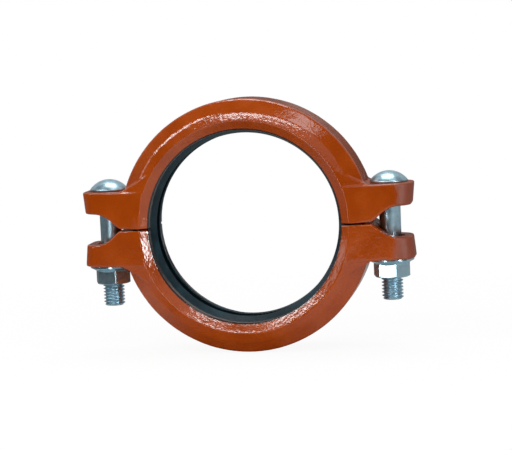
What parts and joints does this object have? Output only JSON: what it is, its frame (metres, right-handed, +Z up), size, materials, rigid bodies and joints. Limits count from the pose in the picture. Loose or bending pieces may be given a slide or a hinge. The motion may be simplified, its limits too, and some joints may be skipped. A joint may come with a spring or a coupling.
{
  "type": "grooved flexible coupling",
  "caption": "Split pipe coupling: cast half housings with inner keys, closed on a rubber ring gasket by track-head bolts and flange nuts.",
  "frame": {"origin": "middle of the bore, on the pipe axis, midway between the two faces and on the parting plane", "axes": "+Y runs along the pipe towards the rear face, +Z is up along the bolts towards their heads, +X runs towards the right bolt pad"},
  "size_m": [0.1974, 0.0462, 0.1498],
  "materials": {
    "orange_paint": "glossy orange-brown enamel over a sand-cast surface",
    "black_rubber": "satin moulded black rubber",
    "zinc_plate": "bright zinc plate on steel"
  },
  "bodies": {
    "lower_half": {"lower_housing": "orange_paint", "gasket": "black_rubber"},
    "upper_half": {"upper_housing": "orange_paint", "left_bolt": "zinc_plate", "right_bolt": "zinc_plate"},
    "left_nut": {"left_nut": "zinc_plate"},
    "right_nut": {"right_nut": "zinc_plate"}
  },
  "joints": [
    {"name": "upper_half_lift", "type": "slide", "parent": "lower_half", "child": "upper_half", "axis": [0, 0, 1], "range_m": [0, 0.0117]},
    {"name": "left_nut_turn", "type": "hinge", "parent": "lower_half", "child": "left_nut", "pos_m": [-0.084, 0, -0.0224], "axis": [0, 0, -1], "range_deg": [0, 2160]},
    {"name": "right_nut_turn", "type": "hinge", "parent": "lower_half", "child": "right_nut", "pos_m": [0.084, 0, -0.0224], "axis": [0, 0, -1], "range_deg": [0, 2160]}
  ],
  "couplings": [
    {"joint": "left_nut_turn", "follows": "upper_half_lift", "rad_per_m": 3215.8},
    {"joint": "right_nut_turn", "follows": "upper_half_lift", "rad_per_m": 3215.8}
  ]
}
